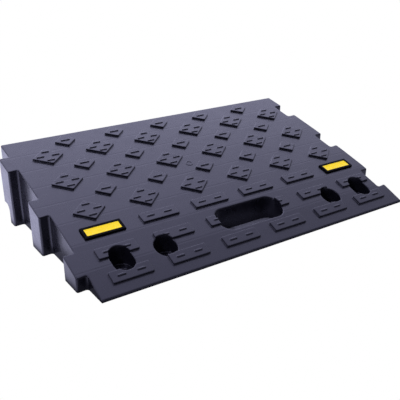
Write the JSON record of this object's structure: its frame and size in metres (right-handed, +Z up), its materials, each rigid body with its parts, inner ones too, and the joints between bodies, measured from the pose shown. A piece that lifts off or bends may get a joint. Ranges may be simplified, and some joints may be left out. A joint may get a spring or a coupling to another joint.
{
  "type": "rubber kerb ramp speed bump module",
  "caption": "One-sided modular rubber speed bump or kerb ramp with dovetail sides, studded deck, hand slot, deep fixing pockets and framed yellow reflectors.",
  "frame": {"origin": "on the ground, under the middle of the 600 mm deck and half-way between the front lip and the back face", "axes": "+Z up; +X from the side with the tabs to the side with the sockets, along a row of ramps; -Y towards the traffic, at the low front lip; +Y towards the kerb, at the high back"},
  "size_m": [0.617, 0.38, 0.1174],
  "materials": {
    "black_rubber": "satin moulded rubber with a fine grain",
    "black_frame": "gloss black moulded plastic",
    "yellow_reflector": "yellow prismatic retroreflector"
  },
  "bodies": {
    "root": {"ramp_body": "black_rubber", "reflector_frame_left": "black_frame", "reflector_frame_right": "black_frame", "reflector_lens_left": "yellow_reflector", "reflector_lens_right": "yellow_reflector"}
  },
  "joints": []
}
